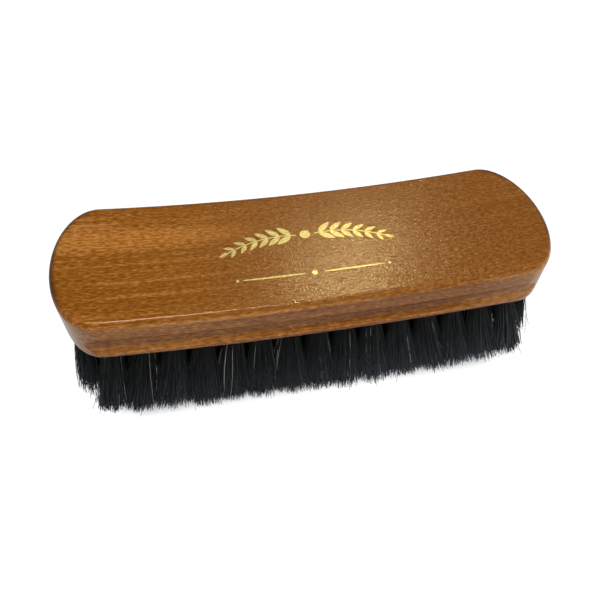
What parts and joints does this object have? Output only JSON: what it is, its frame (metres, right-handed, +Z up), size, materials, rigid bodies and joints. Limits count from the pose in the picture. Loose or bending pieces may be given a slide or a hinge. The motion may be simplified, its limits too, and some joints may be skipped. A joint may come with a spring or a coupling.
{
  "type": "shoe shine brush",
  "caption": "Bowed wooden block with finger grooves and rows of black horsehair tufts set in its underside, for polishing shoes.",
  "frame": {"origin": "under the middle of the brush, on the surface that its hair tips stand on", "axes": "+X along the block, +Y across it and away from the pictured long side, +Z up through the block's top"},
  "size_m": [0.1784, 0.0598, 0.0503],
  "materials": {
    "lacquered_wood": "orange-brown stained beech under a satin clear lacquer",
    "horsehair": "black horsehair with a soft sheen and a few pale hairs",
    "anchor_metal": "flat cut wire, plain"
  },
  "bodies": {
    "block": {"handle_block": "lacquered_wood", "anchor_row_01": "anchor_metal", "anchor_row_02": "anchor_metal", "anchor_row_03": "anchor_metal", "anchor_row_04": "anchor_metal", "anchor_row_05": "anchor_metal", "anchor_row_06": "anchor_metal", "anchor_row_07": "anchor_metal", "anchor_row_08": "anchor_metal", "anchor_row_09": "anchor_metal", "anchor_row_10": "anchor_metal", "anchor_row_11": "anchor_metal", "anchor_row_12": "anchor_metal", "anchor_row_13": "anchor_metal", "anchor_row_14": "anchor_metal", "anchor_row_15": "anchor_metal", "anchor_row_16": "anchor_metal", "anchor_row_17": "anchor_metal"},
    "bristles_01": {"tuft_row_01": "horsehair"},
    "bristles_02": {"tuft_row_02": "horsehair"},
    "bristles_03": {"tuft_row_03": "horsehair"},
    "bristles_04": {"tuft_row_04": "horsehair"},
    "bristles_05": {"tuft_row_05": "horsehair"},
    "bristles_06": {"tuft_row_06": "horsehair"},
    "bristles_07": {"tuft_row_07": "horsehair"},
    "bristles_08": {"tuft_row_08": "horsehair"},
    "bristles_09": {"tuft_row_09": "horsehair"},
    "bristles_10": {"tuft_row_10": "horsehair"},
    "bristles_11": {"tuft_row_11": "horsehair"},
    "bristles_12": {"tuft_row_12": "horsehair"},
    "bristles_13": {"tuft_row_13": "horsehair"},
    "bristles_14": {"tuft_row_14": "horsehair"},
    "bristles_15": {"tuft_row_15": "horsehair"},
    "bristles_16": {"tuft_row_16": "horsehair"},
    "bristles_17": {"tuft_row_17": "horsehair"}
  },
  "joints": [
    {"name": "row_09_flex", "type": "hinge", "parent": "block", "child": "bristles_09", "pos_m": [0, 0, 0.02448], "axis": [0, 1, 0], "range_deg": [-12, 12], "stiffness_Nm_per_rad": 0.045, "deforming": ["tuft_row_09"]},
    {"name": "row_01_flex", "type": "hinge", "parent": "block", "child": "bristles_01", "pos_m": [-0.078, 0, 0.02793], "axis": [0, 1, 0], "range_deg": [-12, 12], "stiffness_Nm_per_rad": 0.045, "deforming": ["tuft_row_01"]},
    {"name": "row_02_flex", "type": "hinge", "parent": "block", "child": "bristles_02", "pos_m": [-0.06825, 0, 0.02712], "axis": [0, 1, 0], "range_deg": [-12, 12], "stiffness_Nm_per_rad": 0.045, "deforming": ["tuft_row_02"]},
    {"name": "row_03_flex", "type": "hinge", "parent": "block", "child": "bristles_03", "pos_m": [-0.0585, 0, 0.02642], "axis": [0, 1, 0], "range_deg": [-12, 12], "stiffness_Nm_per_rad": 0.045, "deforming": ["tuft_row_03"]},
    {"name": "row_04_flex", "type": "hinge", "parent": "block", "child": "bristles_04", "pos_m": [-0.04875, 0, 0.02583], "axis": [0, 1, 0], "range_deg": [-12, 12], "stiffness_Nm_per_rad": 0.045, "deforming": ["tuft_row_04"]},
    {"name": "row_05_flex", "type": "hinge", "parent": "block", "child": "bristles_05", "pos_m": [-0.039, 0, 0.02534], "axis": [0, 1, 0], "range_deg": [-12, 12], "stiffness_Nm_per_rad": 0.045, "deforming": ["tuft_row_05"]},
    {"name": "row_06_flex", "type": "hinge", "parent": "block", "child": "bristles_06", "pos_m": [-0.02925, 0, 0.02496], "axis": [0, 1, 0], "range_deg": [-12, 12], "stiffness_Nm_per_rad": 0.045, "deforming": ["tuft_row_06"]},
    {"name": "row_07_flex", "type": "hinge", "parent": "block", "child": "bristles_07", "pos_m": [-0.0195, 0, 0.0247], "axis": [0, 1, 0], "range_deg": [-12, 12], "stiffness_Nm_per_rad": 0.045, "deforming": ["tuft_row_07"]},
    {"name": "row_08_flex", "type": "hinge", "parent": "block", "child": "bristles_08", "pos_m": [-0.00975, 0, 0.02453], "axis": [0, 1, 0], "range_deg": [-12, 12], "stiffness_Nm_per_rad": 0.045, "deforming": ["tuft_row_08"]},
    {"name": "row_10_flex", "type": "hinge", "parent": "block", "child": "bristles_10", "pos_m": [0.00975, 0, 0.02453], "axis": [0, 1, 0], "range_deg": [-12, 12], "stiffness_Nm_per_rad": 0.045, "deforming": ["tuft_row_10"]},
    {"name": "row_11_flex", "type": "hinge", "parent": "block", "child": "bristles_11", "pos_m": [0.0195, 0, 0.0247], "axis": [0, 1, 0], "range_deg": [-12, 12], "stiffness_Nm_per_rad": 0.045, "deforming": ["tuft_row_11"]},
    {"name": "row_12_flex", "type": "hinge", "parent": "block", "child": "bristles_12", "pos_m": [0.02925, 0, 0.02496], "axis": [0, 1, 0], "range_deg": [-12, 12], "stiffness_Nm_per_rad": 0.045, "deforming": ["tuft_row_12"]},
    {"name": "row_13_flex", "type": "hinge", "parent": "block", "child": "bristles_13", "pos_m": [0.039, 0, 0.02534], "axis": [0, 1, 0], "range_deg": [-12, 12], "stiffness_Nm_per_rad": 0.045, "deforming": ["tuft_row_13"]},
    {"name": "row_14_flex", "type": "hinge", "parent": "block", "child": "bristles_14", "pos_m": [0.04875, 0, 0.02583], "axis": [0, 1, 0], "range_deg": [-12, 12], "stiffness_Nm_per_rad": 0.045, "deforming": ["tuft_row_14"]},
    {"name": "row_15_flex", "type": "hinge", "parent": "block", "child": "bristles_15", "pos_m": [0.0585, 0, 0.02642], "axis": [0, 1, 0], "range_deg": [-12, 12], "stiffness_Nm_per_rad": 0.045, "deforming": ["tuft_row_15"]},
    {"name": "row_16_flex", "type": "hinge", "parent": "block", "child": "bristles_16", "pos_m": [0.06825, 0, 0.02712], "axis": [0, 1, 0], "range_deg": [-12, 12], "stiffness_Nm_per_rad": 0.045, "deforming": ["tuft_row_16"]},
    {"name": "row_17_flex", "type": "hinge", "parent": "block", "child": "bristles_17", "pos_m": [0.078, 0, 0.02793], "axis": [0, 1, 0], "range_deg": [-12, 12], "stiffness_Nm_per_rad": 0.045, "deforming": ["tuft_row_17"]}
  ],
  "couplings": [
    {"joint": "row_01_flex", "follows": "row_09_flex", "ratio": 1},
    {"joint": "row_02_flex", "follows": "row_09_flex", "ratio": 1},
    {"joint": "row_03_flex", "follows": "row_09_flex", "ratio": 1},
    {"joint": "row_04_flex", "follows": "row_09_flex", "ratio": 1},
    {"joint": "row_05_flex", "follows": "row_09_flex", "ratio": 1},
    {"joint": "row_06_flex", "follows": "row_09_flex", "ratio": 1},
    {"joint": "row_07_flex", "follows": "row_09_flex", "ratio": 1},
    {"joint": "row_08_flex", "follows": "row_09_flex", "ratio": 1},
    {"joint": "row_10_flex", "follows": "row_09_flex", "ratio": 1},
    {"joint": "row_11_flex", "follows": "row_09_flex", "ratio": 1},
    {"joint": "row_12_flex", "follows": "row_09_flex", "ratio": 1},
    {"joint": "row_13_flex", "follows": "row_09_flex", "ratio": 1},
    {"joint": "row_14_flex", "follows": "row_09_flex", "ratio": 1},
    {"joint": "row_15_flex", "follows": "row_09_flex", "ratio": 1},
    {"joint": "row_16_flex", "follows": "row_09_flex", "ratio": 1},
    {"joint": "row_17_flex", "follows": "row_09_flex", "ratio": 1}
  ]
}
